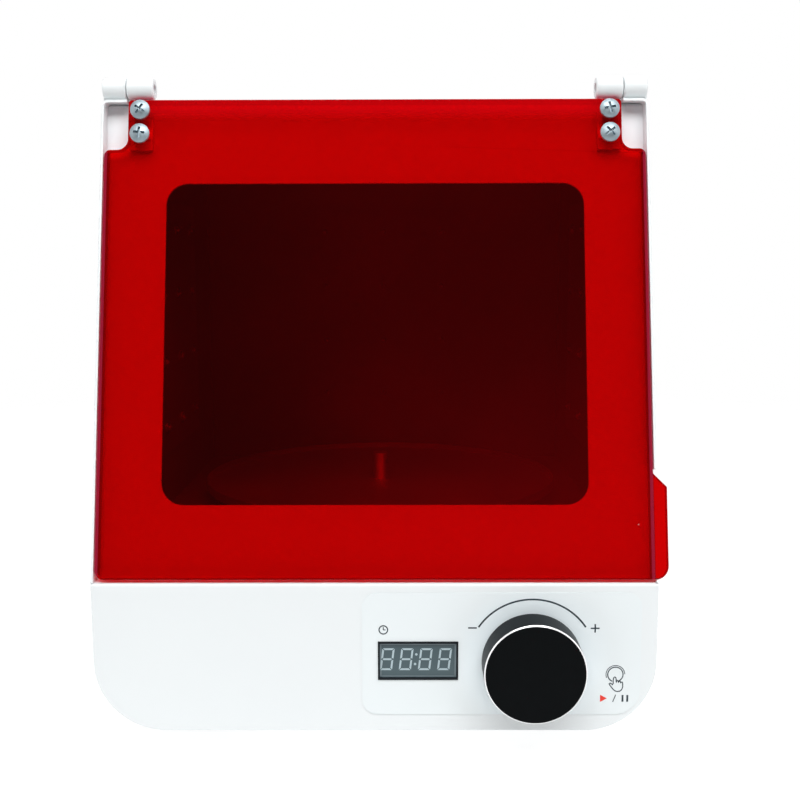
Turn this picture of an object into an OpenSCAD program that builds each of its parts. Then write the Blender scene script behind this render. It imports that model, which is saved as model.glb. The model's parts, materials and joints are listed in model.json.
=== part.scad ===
// Dental lab light curing unit: a white sheet-steel box with a leaning see-through door over a
// turntable chamber, and a low control panel. Millimetres, +Z up, front towards -Y.
// Modules are drawn from the middle of the panel's bottom edge, and place() moves them to the origin.

/* [Casing] */
// Width of the sheet casing
casing_w = 225; // [224:1:230]
// Depth of the sheet casing
casing_d = 232; // [230:1:250]
// Height of the sheet casing without its feet
casing_h = 253.3; // [252:0.1:265]
// Height of the upright control panel
panel_h = 61.3; // [60:0.1:64]
// Outer radius of the two bottom bends
bottom_r = 28.5; // [24:0.5:29]
// Outer radius of the two top bends
top_r = 2.5; // [2:0.5:4]
// Thickness of the steel sheet
sheet = 1; // [0.8:0.1:1.2]
// Height of the feet
foot_h = 8; // [5:1:12]

/* [Door] */
// Lean of the door from the vertical in degrees
door_lean = 13.1; // [12:0.1:14]
// Thickness of the door's acrylic
door_t = 4; // [3:0.5:4.5]
// Gap between the door and each side wall
door_side_gap = 0.5; // [0.4:0.1:1]
// Gap between the door and the ledge along the slope
door_bottom_gap = 1.25; // [1.25:0.05:2]
// Reach of the handle tab past the casing's side
tab_out = 4; // [2:0.5:8]
// Height of the handle tab's straight edge
tab_h = 36.6; // [25:0.1:38]
// Width of the notch at each top corner
notch_w = 9.6; // [9:0.1:10]
// Height of the notch at each top corner
notch_h = 21; // [20:1:24]

/* [Window] */
// Distance from the door's face back to the front frame
frame_recess = 6; // [6:0.1:7]
// Width of the window opening
window_w = 172.8; // [150:0.1:176]
// Height of the window opening along the slope
window_h = 132.7; // [110:0.1:134]
// Distance from the ledge up the slope to the window
window_sill = 30.8; // [30:0.1:34]
// Corner radius of the window
window_r = 9; // [4:1:15]

/* [Hinges] */
// Diameter of the hinge barrels
barrel_d = 9; // [8.5:0.1:9.2]
// Length of the door's barrel
door_barrel_l = 11; // [9:0.1:11.2]
// Length of the casing's barrel
fixed_barrel_l = 9.6; // [9:0.1:9.7]
// Diameter of the hinge pin
pin_d = 4; // [3:0.1:4.5]
// Thickness of the hinge leaves
leaf_t = 1.5; // [1:0.1:1.6]

/* [Controls] */
// Diameter of the knob
knob_d = 40; // [30:1:42]
// Height of the knob
knob_h = 14; // [12:0.5:18]
// Distance of the knob's axis in from the casing's right side
knob_in = 49.9; // [46:0.1:54]
// Height of the knob's axis above the casing's bottom
knob_z = 29.3; // [27:0.1:32]
// Distance of the display's centre in from the casing's right side
display_in = 95.2; // [91:0.1:98]
// Height of the display's centre above the casing's bottom
display_z = 29.5; // [26:0.1:34]

/* [Chamber] */
// Diameter of the turntable
turntable_d = 170; // [120:1:176]
// Distance of the turntable's axis in front of the chamber's back wall
turntable_in = 94; // [92:1:96]
// Height of the turntable's plate above the casing's bottom
turntable_z = 78; // [77:0.5:82]
// Gap between the chamber's side wall and the casing's side
side_bay = 12.5; // [11:0.5:17.5]
// Height of the chamber's floor above the casing's bottom
floor_z = 72; // [70:0.5:73]
// Gap between the chamber's ceiling and the casing's top
top_bay = 15.3; // [10:0.1:22]
// Gap between the chamber's back wall and the casing's rear
rear_bay = 24; // [22:1:26]

/* [Hidden] */
$fn = 64;

// Clearances
free_gap = 0.3;      // between pieces that move past each other
running_gap = 0.05;  // radial, between a shaft and its bore
seam_gap = 0.2;      // between sheets that are let into one another
cut = 1;             // how far a cutting shape runs past the face that it opens
overlap = 0.01;      // how far two shapes of one solid run into each other

// Slope of the door and frame
slope_len = (casing_h - panel_h) / cos(door_lean);
slope_top_y = (casing_h - panel_h) * tan(door_lean);
half_w = casing_w / 2;
wall_in = half_w - sheet;
ledge_d = 22;
ledge_bend_r = 1.5;
frame_bend_r = 3;
frame_tab = 20;

// Roof: the side walls turn in as lips and the cover lies between them
lip_w = 10.3;
lip_edge = half_w - lip_w;
cover_front_y = slope_y(casing_h - sheet, frame_recess);
cover_step_w = 4;
cover_step_y = cover_front_y + frame_tab + 4;
cover_screw_x = half_w - 5.5;
cover_screw_back_in = 32;
cover_screw_step = 90;
cover_screw_y = [casing_d - cover_screw_back_in - cover_screw_step, casing_d - cover_screw_back_in];

// Rear of the shell and its panel
rear_flange_w = 10;
rear_flange_z = [bottom_r + 2, casing_h - 8];
rear_screw_x = half_w - 6;
rear_screw_low = bottom_r + 16.5;
rear_screw_high = casing_h - 28.3;
rear_screw_z = [rear_screw_low, (rear_screw_low + rear_screw_high) / 2, rear_screw_high];

// Door
door_half_w = wall_in - door_side_gap;
door_len = slope_len - door_bottom_gap;
door_corner_r = 4;
tab_reach = half_w + tab_out;
tab_corner_r = 5.5;
notch_inner_r = 4.5;
notch_outer_r = 2.5;
tab_notch_top = 44.9;
tab_notch_d = door_t + 1.2;

// Hinges
barrel_r = barrel_d / 2;
pin_r = pin_d / 2;
hinge_y = slope_top_y + 4;
hinge_z = casing_h + barrel_r + free_gap;
hinge_s = (hinge_z - panel_h) * cos(door_lean) + hinge_y * sin(door_lean);
leaf_in_x = half_w - 21.2;
leaf_w = 9.4;
leaf_len = 25.5;
fixed_in_x = leaf_in_x + door_barrel_l + free_gap;
fixed_out_x = fixed_in_x + fixed_barrel_l;
barrel_edge = 0.5;
door_screw_x = leaf_in_x + 5.2;
door_screw_drop = [4.3, 14.3];
leaf_screw_x = (fixed_in_x + fixed_out_x) / 2;
leaf_screw_y = [for (drop = door_screw_drop) hinge_y + hinge_s - slope_len + drop];

// Screws: shank radius, head radius and head height
m3 = [1.5, 2.75, 1.8];
m4 = [2, 4, 2.4];
m3_length = 5;
m4_length = 5;
door_hole_r = m4[0] + 0.15;

// Control panel
label_t = 0.3;
label_side_in = 6.5;
label_w = 111;
label_x = [half_w - label_side_in - label_w, half_w - label_side_in];
label_z = [7, 57.5];
display_cut = [32, 15.9];
display_face = [30.5, 14.2];
board_y = 9;
board_t = 1.6;
board_x = [half_w - 115.5, half_w - 12.5];
board_z = [13, 56];
board_hole_in = 5;
touch_x = half_w - 16.4;
knob_x = half_w - knob_in;
display_x = half_w - display_in;
touch_z = 23.7;
touch_r = 6.8;
bushing_r = 3.5;
bushing_l = 5;
shaft_r = 3;
nut_t = 1.8;
knob_gap = 0.7;
knob_back = label_t + knob_gap;
knob_front = knob_back + knob_h;
knob_recess_r = 9;
knob_recess_d = 5.5;
knob_chamfer = 0.7;

// Chamber
chamber_half = half_w - side_bay;
liner_out = chamber_half + sheet;
back_y = casing_d - rear_bay;
back_out = back_y + sheet;
ceiling_z = casing_h - top_bay;
turntable_y = back_y - turntable_in;
rail_x = half_w - 29.5;
rail_flange = 7;
rail_y = [30, back_y - 8];
lamp_board_t = 1.6;
lamp_back_in = 48;
lamp_side_len = 90;
lamp_top_len = 80;
lamp_side_y = [back_y - lamp_back_in - lamp_side_len, back_y - lamp_back_in];
lamp_top_y = [back_y - lamp_back_in - lamp_top_len, back_y - lamp_back_in];
lamp_z = [floor_z + 26, ceiling_z - 24];
lamp_half_w = 45;
lamp_edge = 12;
led_base_r = 2.5;
led_base_t = 0.8;
led_dome_r = 1.5;
sink_half_w = 55;
sink_base_t = 2;
sink_fin_h = 4;
sink_fins = 12;
sink_fin_t = 1.4;

// Turntable
plate_t = 1.5;
rim_h = 4;
rim_w = 1.4;
hub_r = 14;
hub_t = 3.5;
shaft_low_z = 56;
stud_r = 2;
stud_h = 10;
spindle_nut_r = 3.5;
spindle_nut_h = 13;
motor_r = 25;
motor_h = 20;
motor_ear_x = 30;
motor_ear_r = 4.5;

// Electronics in the base
driver_x = [-60, 60];
driver_y = [60, 150];
driver_z = 10;
driver_hole_in = 5;
transformer_size = [32, 26, 22];
transformer_at = [14, 30];
capacitor_r = 6.5;
capacitor_h = 20;
capacitor_pitch = 20.8;
capacitor_at = [102, 20];

// Rear fittings
inlet_x = 50.5 - half_w;
inlet_z = 36;
inlet_body = [27, 20];
inlet_socket = [24, 16.6];
inlet_flange = [50, 23];
inlet_flange_t = 2.5;
inlet_depth = 18;
inlet_socket_d = 15;
inlet_pitch = 40;
inlet_screw_l = 6;
inlet_head_h = 1.6;
inlet_tag_l = 6;
inlet_pin_spots = [[-7, -2.5], [7, -2.5], [0, 3]];
switch_x = inlet_x + 40;
switch_z = 36;
switch_bezel = [15, 21];
switch_body = [13, 19];
switch_well = [10.6, 17];
switch_bezel_t = 1.8;
switch_depth = 14;
rocker_tilt = 10;
rocker_w = 10;
rocker_half_l = 7.4;
rocker_pin_r = 1;
rocker_pin_in = 3;        // how far the rocker's pin lies inside the rear face
rocker_root = 3;          // half the width and the depth of the rocker's root
rocker_end = [1.6, 4.7];  // the inner and outer side of the rocker's ends, out from the pin
rocker_dip = 3.7;         // the middle of its face
fan_z = ceiling_z - 73;
fan_size = 60;
fan_t = 15;
fan_bore_r = 28.5;
fan_hole_at = 25;
fan_hub_r = 13;
rotor_r = 27.5;
rotor_hub_r = 12.5;
blade_count = 7;
blade_pitch = 38;
guard_t = 1.8;
guard_ring_r = [8, 16, 24];
guard_wire_r = 0.8;
guard_eye_r = 4.5;
vent_x = [half_w - 98.5, half_w - 18.5];
vent_w = 3;
vent_z = [24, 54];
vent_count = 9;

// Feet
foot_r = 10;
foot_x = half_w - 40.5;
foot_y = [35, casing_d - 32];
foot_pocket_r = 5;
foot_pocket_d = 4;

// Origin: middle of the whole object's box, under the feet
rear_reach = guard_t + m4[2];
origin_x = tab_out / 2;
origin_y = (casing_d + rear_reach - knob_front) / 2;

// Y of the plane parallel to the door's face and n behind it, at height z
function slope_y(z, n) = (z - panel_h) * tan(door_lean) + n / cos(door_lean);

// Point of the side view at s up the slope and n behind the door's face
function slope_point(s, n) = [
    s * sin(door_lean) + n * cos(door_lean),
    panel_h + s * cos(door_lean) - n * sin(door_lean)
];

module place() translate([-origin_x, -origin_y, foot_h]) children();

// Local axes: x across, y up the slope, z out of the door's face
module on_slope() translate([0, 0, panel_h]) rotate([90 - door_lean, 0, 0]) children();

// A side view drawn in y and z, run from x0 to x1
module along_x(x0, x1) translate([x0, 0, 0]) rotate([90, 0, 90]) linear_extrude(x1 - x0) children();

// A front view drawn in x and z, run from y0 to y1
module along_y(y0, y1) translate([0, y1, 0]) rotate([90, 0, 0]) linear_extrude(y1 - y0) children();

// A round piece whose axis points back from the front, drawn along z
module facing_back(x, y, z) translate([x, y, z]) rotate([-90, 0, 0]) children();

// A round piece whose axis points to the front, drawn along z
module facing_front(x, y, z) translate([x, y, z]) rotate([90, 0, 0]) children();

// The area that rounds off a corner at the origin, towards +x and +y
module corner(r) difference() {
    translate([-cut, -cut]) square(r + cut);
    translate([r, r]) circle(r);
}

module corner_at(x, y, to_x, to_y, r) translate([x, y])
    mirror([to_x < 0 ? 1 : 0, 0]) mirror([0, to_y < 0 ? 1 : 0]) corner(r);

module rounded_rect(w, h, r) {
    square([w - 2 * r, h], center = true);
    square([w, h - 2 * r], center = true);
    for (x = [-1, 1], y = [-1, 1]) translate([x * (w / 2 - r), y * (h / 2 - r)]) circle(r);
}

// Front view of the casing, drawn inset by i
module casing_outline(i) difference() {
    translate([-half_w + i, i]) square([casing_w - 2 * i, casing_h - 2 * i]);
    for (side = [-1, 1]) {
        corner_at(side * (half_w - i), i, -side, 1, bottom_r - i);
        corner_at(side * (half_w - i), casing_h - i, -side, -1, max(top_r - i, 0.5));
    }
}

// A pan-head screw with a cross recess, its head's underside at z = 0
module pan_screw(size, length) {
    crown_r = size[1] * 1.6;
    slot = [size[1] * 1.15, size[1] * 0.24, size[2] * 0.6];
    translate([0, 0, -length]) cylinder(r = size[0], h = length + overlap);
    difference() {
        intersection() {
            cylinder(r = size[1], h = size[2]);
            translate([0, 0, size[2] - crown_r]) sphere(crown_r);
        }
        for (turn = [20, 110]) rotate(turn)
            translate([-slot[0] / 2, -slot[1] / 2, size[2] - slot[2]])
                cube([slot[0], slot[1], slot[2] + cut]);
    }
}

module outer_shell() place() color("white") {
    difference() {
        along_y(0, casing_d) difference() {
            casing_outline(0);
            casing_outline(sheet);
        }
        translate([-casing_w, -cut, -cut]) cube([2 * casing_w, cut + sheet, cut + panel_h]);
        on_slope() translate([-casing_w, -panel_h, 0]) cube([2 * casing_w, 2 * casing_h, casing_d]);
        translate([-lip_edge, -cut, casing_h - 2 * sheet])
            cube([2 * lip_edge, casing_d + 2 * cut, 4 * sheet]);
        on_slope() translate([wall_in - cut, door_bottom_gap - free_gap, -tab_notch_d])
            cube([2 * cut + sheet, tab_notch_top - door_bottom_gap + free_gap, tab_notch_d + cut]);
        for (x = [-foot_x, foot_x], y = foot_y) translate([x, y, -cut])
            cylinder(r = m4[0], h = sheet + 2 * cut);
        for (x = [-leaf_screw_x, leaf_screw_x], y = leaf_screw_y) translate([x, y, casing_h - 2 * sheet])
            cylinder(r = m4[0], h = 4 * sheet);
        for (x = [-cover_screw_x, cover_screw_x], y = cover_screw_y) translate([x, y, casing_h - 2 * sheet])
            cylinder(r = m3[0], h = 4 * sheet);
    }
    for (side = [-1, 1]) difference() {
        along_y(casing_d - 2 * sheet, casing_d - sheet)
            translate([side > 0 ? wall_in - rear_flange_w : -wall_in - overlap, rear_flange_z[0]])
                square([rear_flange_w + overlap, rear_flange_z[1] - rear_flange_z[0]]);
        for (z = rear_screw_z) facing_back(side * rear_screw_x, casing_d - 3 * sheet, z)
            cylinder(r = m3[0], h = 3 * sheet);
    }
}

module top_cover() place() color("white") difference() {
    union() {
        translate([-lip_edge + seam_gap, cover_front_y, casing_h - sheet])
            cube([2 * (lip_edge - seam_gap), casing_d - cover_front_y, sheet]);
        for (side = [-1, 1]) along_y(cover_step_y, casing_d - 3 * sheet)
            translate([side > 0 ? lip_edge - cover_step_w : -half_w + 2.5, casing_h - 2 * sheet])
                square([lip_w + cover_step_w - 2.5, sheet]);
    }
    for (x = [-cover_screw_x, cover_screw_x], y = cover_screw_y) translate([x, y, casing_h - 3 * sheet])
        cylinder(r = m3[0], h = 3 * sheet);
}

module rear_panel() place() color("white") difference() {
    along_y(casing_d - sheet, casing_d) casing_outline(sheet + seam_gap);
    along_y(casing_d - 2 * sheet, casing_d + cut) {
        translate([0, fan_z]) {
            circle(fan_bore_r);
            for (x = [-fan_hole_at, fan_hole_at], z = [-fan_hole_at, fan_hole_at])
                translate([x, z]) circle(m4[0]);
        }
        translate([inlet_x, inlet_z]) {
            square(inlet_body, center = true);
            for (side = [-1, 1]) translate([side * inlet_pitch / 2, 0]) circle(m3[0]);
        }
        translate([switch_x, switch_z]) square(switch_body, center = true);
        for (x = [-rear_screw_x, rear_screw_x], z = rear_screw_z) translate([x, z]) circle(m3[0]);
        for (i = [0:vent_count - 1]) translate([
            vent_x[0] + i * (vent_x[1] - vent_x[0] - vent_w) / (vent_count - 1),
            vent_z[0]
        ]) square([vent_w, vent_z[1] - vent_z[0]]);
    }
}

// Side view of the panel and its ledge
module panel_profile() difference() {
    union() {
        square([sheet, panel_h]);
        translate([0, panel_h - sheet]) square([ledge_d, sheet]);
    }
    corner_at(0, panel_h, 1, -1, ledge_bend_r);
}

module front_panel() place() color("white") difference() {
    union() {
        intersection() {
            along_x(-half_w, half_w) panel_profile();
            along_y(0, sheet) casing_outline(0);
        }
        intersection() {
            along_x(-half_w, half_w) panel_profile();
            along_y(sheet - overlap, ledge_d) casing_outline(sheet);
        }
    }
    along_y(-cut, sheet + cut) {
        translate([display_x, display_z]) square(display_cut, center = true);
        translate([knob_x, knob_z]) circle(bushing_r);
        translate([touch_x, touch_z]) circle(touch_r);
    }
}

// Bend at the frame's top, in the side view: its centre and how far up the slope it starts
frame_bend_z = casing_h - sheet - frame_bend_r;
frame_bend_y = slope_y(frame_bend_z, frame_recess + frame_bend_r);
frame_bend_s = frame_bend_y * sin(door_lean) + (frame_bend_z - panel_h) * cos(door_lean);

module frame_strip() intersection() {
    polygon([
        slope_point(-2 * sheet, frame_recess),
        slope_point(frame_bend_s + overlap, frame_recess),
        slope_point(frame_bend_s + overlap, frame_recess + sheet),
        slope_point(-2 * sheet, frame_recess + sheet)
    ]);
    translate([0, panel_h]) square([casing_d, casing_h]);
}

module frame_bend() intersection() {
    translate([frame_bend_y, frame_bend_z]) difference() {
        circle(frame_bend_r);
        circle(frame_bend_r - sheet);
    }
    polygon([
        [frame_bend_y, frame_bend_z],
        slope_point(frame_bend_s, frame_recess - frame_bend_r),
        [frame_bend_y - 2 * frame_bend_r, frame_bend_z + 2 * frame_bend_r],
        [frame_bend_y, frame_bend_z + 2 * frame_bend_r]
    ]);
}

module front_frame() place() color("white") difference() {
    intersection() {
        union() {
            along_x(-half_w, half_w) frame_strip();
            along_x(-half_w, half_w) frame_bend();
            along_x(-half_w, half_w) translate([frame_bend_y - overlap, casing_h - 2 * sheet])
                square([frame_tab, sheet]);
            along_x(-half_w, half_w) translate([slope_y(panel_h, frame_recess), panel_h])
                square([ledge_d - slope_y(panel_h, frame_recess), sheet]);
        }
        along_y(0, casing_d) casing_outline(sheet);
    }
    on_slope() translate([0, window_sill + window_h / 2, -frame_recess - 3 * sheet])
        linear_extrude(5 * sheet) rounded_rect(window_w, window_h, window_r);
    for (x = [-leaf_screw_x, leaf_screw_x], y = leaf_screw_y) translate([x, y, casing_h - 3 * sheet])
        cylinder(r = m4[0], h = 3 * sheet);
}

module control_label() place() color("whitesmoke") along_y(-label_t, 0) difference() {
    translate([label_x[0], label_z[0]]) square([label_x[1] - label_x[0], label_z[1] - label_z[0]]);
    for (z = [0, 1]) corner_at(label_x[0], label_z[z], 1, 1 - 2 * z, 6);
    corner_at(label_x[1], label_z[0], -1, 1, 10);
    corner_at(label_x[1], label_z[1], -1, -1, 6);
    translate([display_x, display_z]) square(display_cut, center = true);
    translate([knob_x, knob_z]) circle(bushing_r);
}

module display_bezel() place() color("black") along_y(-2 * label_t, sheet + cut)
    translate([display_x, display_z]) difference() {
        square(display_cut, center = true);
        square(display_face, center = true);
    }

module display_module() place() color("slategray") along_y(label_t, board_y)
    translate([display_x, display_z]) square(display_face, center = true);

module control_board() place() color("darkgreen") difference() {
    translate([board_x[0], board_y, board_z[0]])
        cube([board_x[1] - board_x[0], board_t, board_z[1] - board_z[0]]);
    at_board_corners() facing_back(0, board_y - cut, 0) cylinder(r = m3[0], h = board_t + 2 * cut);
}

module at_board_corners() for (x = [board_x[0] + board_hole_in, board_x[1] - board_hole_in],
    z = [board_z[0] + board_hole_in, board_z[1] - board_hole_in]) translate([x, 0, z]) children();

module panel_standoffs() place() color("silver") at_board_corners() {
    facing_back(0, sheet, 0) cylinder(r = 2.5, h = board_y - sheet);
    facing_back(0, board_y - overlap, 0) cylinder(r = m3[0], h = board_t + 1);
}

module encoder_body() place() color("dimgray") difference() {
    union() {
        translate([knob_x - 6, sheet, knob_z - 6]) cube([12, board_y - sheet, 12]);
        facing_front(knob_x, sheet, knob_z) cylinder(r = bushing_r, h = sheet + bushing_l);
    }
    facing_front(knob_x, 6, knob_z) cylinder(r = shaft_r + running_gap, h = 6 + bushing_l + cut);
}

module encoder_nut() place() color("silver") facing_front(knob_x, -label_t, knob_z) difference() {
    cylinder(r = 5.5, h = nut_t, $fn = 6);
    translate([0, 0, -cut]) cylinder(r = bushing_r, h = nut_t + 2 * cut);
}

module touch_sensor() place() color("gold") {
    facing_back(touch_x, 0, touch_z) cylinder(r = touch_r, h = sheet);
    facing_back(touch_x, sheet - overlap, touch_z) cylinder(r = 3, h = board_y - sheet + overlap);
}

// Side rail: a web with a flange on the casing's bottom and one under the chamber's floor
module support_rail(side) translate([side * rail_x, rail_y[0], 0]) {
    top_z = floor_z - sheet;
    length = rail_y[1] - rail_y[0];
    translate([-sheet / 2, 0, sheet]) cube([sheet, length, top_z - sheet]);
    for (z = [sheet, top_z - sheet]) translate([side > 0 ? -rail_flange : 0, 0, z])
        cube([rail_flange, length, sheet]);
}

module support_rail_left() place() color("lightgray") support_rail(-1);

module support_rail_right() place() color("lightgray") support_rail(1);

module chamber_floor() place() color("gainsboro") difference() {
    translate([-liner_out, slope_y(floor_z, frame_recess + sheet) + seam_gap, floor_z - sheet])
        cube([2 * liner_out, back_out - slope_y(floor_z, frame_recess + sheet) - seam_gap, sheet]);
    translate([0, turntable_y, floor_z - 2 * sheet]) {
        cylinder(r = shaft_r + 5, h = 3 * sheet);
        for (x = [-motor_ear_x, motor_ear_x]) translate([x, 0, 0]) cylinder(r = m3[0], h = 3 * sheet);
    }
}

module chamber_side(side) translate([side > 0 ? 0 : -liner_out - chamber_half, 0, 0])
    along_x(chamber_half, liner_out) polygon([
        [slope_y(floor_z, frame_recess + sheet) + seam_gap, floor_z],
        [slope_y(ceiling_z, frame_recess + sheet) + seam_gap, ceiling_z],
        [back_y, ceiling_z],
        [back_y, floor_z]
    ]);

module chamber_side_left() place() color("gainsboro") chamber_side(-1);

module chamber_side_right() place() color("gainsboro") chamber_side(1);

module chamber_back() place() color("gainsboro")
    translate([-liner_out, back_y, floor_z]) cube([2 * liner_out, sheet, ceiling_z - floor_z]);

module chamber_ceiling() place() color("gainsboro")
    translate([-liner_out, slope_y(ceiling_z + sheet, frame_recess + sheet) + seam_gap, ceiling_z])
        cube([2 * liner_out, back_out - slope_y(ceiling_z + sheet, frame_recess + sheet) - seam_gap, sheet]);

// One lamp board lying on z = 0 with its lit side up
module lamp_board(w, h) cube([w, h, lamp_board_t]);

// Three rows of four LEDs on such a board
module led_grid(w, h) for (i = [0:2], j = [0:3])
    translate([lamp_edge + i * (w - 2 * lamp_edge) / 2,
               lamp_edge + j * (h - 2 * lamp_edge) / 3, lamp_board_t]) {
        cylinder(r = led_base_r, h = led_base_t);
        translate([0, 0, led_base_t - overlap]) intersection() {
            sphere(led_dome_r);
            cylinder(r = led_dome_r, h = led_dome_r);
        }
    }

// Places for the boards: local x across, y up (or back, on the ceiling), z into the chamber
module on_left_wall()
    translate([-chamber_half, lamp_side_y[1], lamp_z[0]]) rotate([90, 0, -90]) mirror([0, 0, 1]) children();

module on_right_wall()
    translate([chamber_half, lamp_side_y[0], lamp_z[0]]) rotate([90, 0, 90]) mirror([0, 0, 1]) children();

module on_back_wall() translate([-lamp_half_w, back_y, lamp_z[0]]) rotate([90, 0, 0]) children();

module on_ceiling() translate([-lamp_half_w, lamp_top_y[0], ceiling_z]) mirror([0, 0, 1]) children();

lamp_side_size = [lamp_side_y[1] - lamp_side_y[0], lamp_z[1] - lamp_z[0]];
lamp_back_size = [2 * lamp_half_w, lamp_z[1] - lamp_z[0]];
lamp_top_size = [2 * lamp_half_w, lamp_top_y[1] - lamp_top_y[0]];

module lamp_board_left() place() color("silver")
    on_left_wall() lamp_board(lamp_side_size[0], lamp_side_size[1]);

module lamp_board_right() place() color("silver")
    on_right_wall() lamp_board(lamp_side_size[0], lamp_side_size[1]);

module lamp_board_back() place() color("silver")
    on_back_wall() lamp_board(lamp_back_size[0], lamp_back_size[1]);

module lamp_board_top() place() color("silver") on_ceiling() lamp_board(lamp_top_size[0], lamp_top_size[1]);

module leds_left() place() color("lightyellow")
    on_left_wall() led_grid(lamp_side_size[0], lamp_side_size[1]);

module leds_right() place() color("lightyellow")
    on_right_wall() led_grid(lamp_side_size[0], lamp_side_size[1]);

module leds_back() place() color("lightyellow")
    on_back_wall() led_grid(lamp_back_size[0], lamp_back_size[1]);

module leds_top() place() color("lightyellow") on_ceiling() led_grid(lamp_top_size[0], lamp_top_size[1]);

module lamp_heat_sink() place() color("silver") translate([-sink_half_w, back_out, lamp_z[0]]) {
    cube([2 * sink_half_w, sink_base_t, lamp_z[1] - lamp_z[0]]);
    for (i = [0:sink_fins - 1])
        translate([i * (2 * sink_half_w - sink_fin_t) / (sink_fins - 1), sink_base_t - overlap, 0])
            cube([sink_fin_t, sink_fin_h + overlap, lamp_z[1] - lamp_z[0]]);
}

module turntable_motor() place() color("lightsteelblue")
    translate([0, turntable_y, floor_z - sheet]) difference() {
    union() {
        translate([0, 0, -motor_h]) cylinder(r = motor_r, h = motor_h);
        translate([-motor_ear_x, -motor_ear_r, -2]) cube([2 * motor_ear_x, 2 * motor_ear_r, 2]);
        for (x = [-motor_ear_x, motor_ear_x]) translate([x, 0, -2]) cylinder(r = motor_ear_r, h = 2);
    }
    translate([0, 0, shaft_low_z - floor_z + sheet - free_gap])
        cylinder(r = shaft_r + running_gap, h = floor_z - shaft_low_z + cut);
    for (x = [-motor_ear_x, motor_ear_x]) translate([x, 0, -2 - cut]) cylinder(r = m3[0], h = 2 + 2 * cut);
}

module motor_screws() place() color("silver")
    for (x = [-motor_ear_x, motor_ear_x]) translate([x, turntable_y, floor_z]) pan_screw(m3, m3_length);

module at_driver_corners() for (x = [driver_x[0] + driver_hole_in, driver_x[1] - driver_hole_in],
    y = [driver_y[0] + driver_hole_in, driver_y[1] - driver_hole_in]) translate([x, y, 0]) children();

module driver_board() place() color("darkgreen") difference() {
    translate([driver_x[0], driver_y[0], driver_z])
        cube([driver_x[1] - driver_x[0], driver_y[1] - driver_y[0], board_t]);
    at_driver_corners() translate([0, 0, driver_z - cut]) cylinder(r = m3[0], h = board_t + 2 * cut);
}

module driver_transformer() place() color("goldenrod")
    translate([driver_x[0] + transformer_at[0], driver_y[0] + transformer_at[1], driver_z + board_t])
        cube(transformer_size);

module driver_capacitors() place() color("midnightblue") for (i = [0:2])
    translate([driver_x[0] + capacitor_at[0],
               driver_y[0] + capacitor_at[1] + i * capacitor_pitch, driver_z + board_t])
        cylinder(r = capacitor_r, h = capacitor_h);

module driver_standoffs() place() color("silver") at_driver_corners() {
    translate([0, 0, sheet]) cylinder(r = 3, h = driver_z - sheet);
    translate([0, 0, driver_z - overlap]) cylinder(r = m3[0], h = board_t + 1);
}

module power_inlet() place() color("black") translate([inlet_x, 0, inlet_z]) difference() {
    union() {
        along_y(casing_d - inlet_depth, casing_d) square(inlet_body, center = true);
        along_y(casing_d, casing_d + inlet_flange_t) rounded_rect(inlet_flange[0], inlet_flange[1], 4);
    }
    along_y(casing_d + inlet_flange_t - inlet_socket_d, casing_d + inlet_flange_t + cut)
        square(inlet_socket, center = true);
    along_y(casing_d - inlet_depth - cut, casing_d) for (spot = inlet_pin_spots) translate(spot)
        square([2, 4], center = true);
    for (side = [-1, 1]) facing_back(side * inlet_pitch / 2, casing_d - cut, 0)
        cylinder(r = m3[0], h = inlet_flange_t + 2 * cut);
}

module inlet_pins() place() color("gold") translate([inlet_x, 0, inlet_z])
    along_y(casing_d - inlet_depth - inlet_tag_l, casing_d - 1) for (spot = inlet_pin_spots) translate(spot)
        square([2, 4], center = true);

module inlet_screws() place() color("silver") for (side = [-1, 1])
    facing_back(inlet_x + side * inlet_pitch / 2, casing_d + inlet_flange_t, inlet_z)
        pan_screw([m3[0], m3[1], inlet_head_h], inlet_screw_l);

module switch_housing() place() color("black") translate([switch_x, 0, switch_z]) difference() {
    union() {
        along_y(casing_d - switch_depth, casing_d) square(switch_body, center = true);
        along_y(casing_d, casing_d + switch_bezel_t) rounded_rect(switch_bezel[0], switch_bezel[1], 1.5);
    }
    along_y(casing_d - switch_depth + 2, casing_d + switch_bezel_t + cut) square(switch_well, center = true);
    translate([-switch_well[0] / 2 - 1, casing_d - rocker_pin_in, 0]) rotate([0, 90, 0])
        cylinder(r = rocker_pin_r + running_gap, h = switch_well[0] + 2);
}

module power_rocker() place() color("dimgray")
    translate([switch_x, casing_d - rocker_pin_in, switch_z]) rotate([rocker_tilt, 0, 0]) {
    along_x(-rocker_w / 2, rocker_w / 2) polygon([
        [-rocker_root, -rocker_root],
        [rocker_end[0], -rocker_half_l],
        [rocker_end[1], -rocker_half_l],
        [rocker_dip, 0],
        [rocker_end[1], rocker_half_l],
        [rocker_end[0], rocker_half_l],
        [-rocker_root, rocker_root]
    ]);
    translate([-rocker_w / 2 - 1, 0, 0]) rotate([0, 90, 0]) cylinder(r = rocker_pin_r, h = rocker_w + 2);
}

module fan_frame() place() color("black") translate([0, 0, fan_z]) difference() {
    union() {
        along_y(casing_d - sheet - fan_t, casing_d - sheet) difference() {
            rounded_rect(fan_size, fan_size, 4);
            circle(fan_bore_r);
        }
        along_y(casing_d - sheet - fan_t, casing_d - sheet - fan_t + 2) {
            circle(fan_hub_r);
            for (turn = [90, 210, 330]) rotate(turn) translate([0, -1.5]) square([fan_bore_r + 0.5, 3]);
        }
    }
    facing_back(0, casing_d - sheet - fan_t - cut, 0) cylinder(r = 1.5 + running_gap, h = 4);
    for (x = [-fan_hole_at, fan_hole_at], z = [-fan_hole_at, fan_hole_at])
        facing_back(x, casing_d - sheet - fan_t - cut, z) cylinder(r = m4[0], h = fan_t + 2 * cut);
}

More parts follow.
